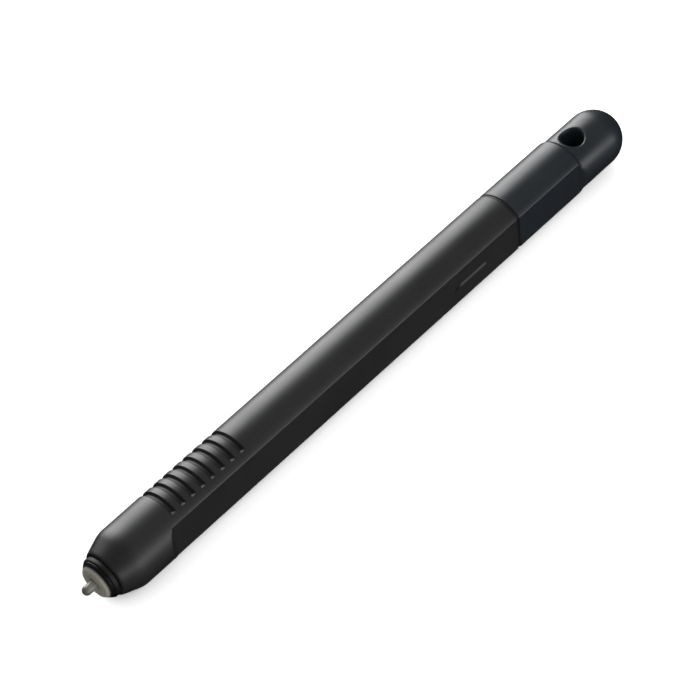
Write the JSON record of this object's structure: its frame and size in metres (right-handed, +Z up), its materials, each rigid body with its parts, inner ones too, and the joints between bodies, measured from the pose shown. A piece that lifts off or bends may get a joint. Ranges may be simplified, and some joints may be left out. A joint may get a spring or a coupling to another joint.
{
  "type": "digitizer stylus",
  "caption": "Passive pen for a tablet screen: round barrel with one long flat, grip grooves, sprung replaceable nib and a pull-off tail cap with a tether hole.",
  "frame": {"origin": "under the middle of the pen's length and axis, at the height of the lowest line of its round side", "axes": "+X along the pen from the nib to the tail; the long flat faces -Y; +Z is up, along the tether hole"},
  "size_m": [0.1232, 0.0104, 0.0105],
  "materials": {
    "barrel_plastic": "satin moulded, very fine texture",
    "cap_plastic": "satin moulded, slightly bluer than the barrel",
    "insert_plastic": "smooth pale grey",
    "nib_plastic": "smooth warm grey acetal",
    "ring_rubber": "matt black elastomer",
    "buffer_rubber": "soft dark foam rubber",
    "bar_paint": "mid grey, flush",
    "ferrite": "sintered, dull",
    "enamelled_copper": "glossy enamel over copper",
    "chassis_plastic": "natural ivory, moulded",
    "sensor_plastic": "black, glass-filled",
    "spring_steel": "drawn wire",
    "ceramic": "fired ceramic",
    "plated_metal": "thin gold plating",
    "board_laminate": "green solder mask over glass epoxy",
    "chip_plastic": "moulded epoxy",
    "solder": "bright solder",
    "sleeve_plastic": "plain black moulding"
  },
  "bodies": {
    "barrel": {"main_barrel": "barrel_plastic", "nose_insert": "insert_plastic", "nose_ring": "ring_rubber", "seam_ring": "ring_rubber", "index_bar": "bar_paint", "front_buffer": "buffer_rubber", "rear_buffer": "buffer_rubber", "sleeve_o_ring": "ring_rubber", "ferrite_core": "ferrite", "coil_winding": "enamelled_copper", "coil_leads": "enamelled_copper", "chassis": "chassis_plastic", "sensor_holder": "sensor_plastic", "return_spring": "spring_steel", "dielectric_disc": "ceramic", "terminal_cap": "plated_metal", "sensor_legs": "plated_metal", "circuit_board": "board_laminate", "chip_capacitors": "ceramic", "trimmer": "ceramic", "control_chip": "chip_plastic", "solder_joints": "solder", "joint_sleeve": "sleeve_plastic"},
    "plunger": {"nib_holder": "sensor_plastic", "conductive_pad": "ring_rubber"},
    "nib": {"nib": "nib_plastic"},
    "cap": {"rear_cap": "cap_plastic"}
  },
  "joints": [
    {"name": "nib_press", "type": "slide", "parent": "barrel", "child": "plunger", "axis": [1, 0, 0], "range_m": [0, 0.00035], "stiffness_N_per_m": 4000, "springref_m": -0.00003, "deforming": ["return_spring"]},
    {"name": "nib_pull", "type": "slide", "parent": "plunger", "child": "nib", "axis": [-1, 0, 0], "range_m": [0, 0.03]},
    {"name": "cap_pull", "type": "slide", "parent": "barrel", "child": "cap", "axis": [1, 0, 0], "range_m": [0, 0.014]}
  ]
}
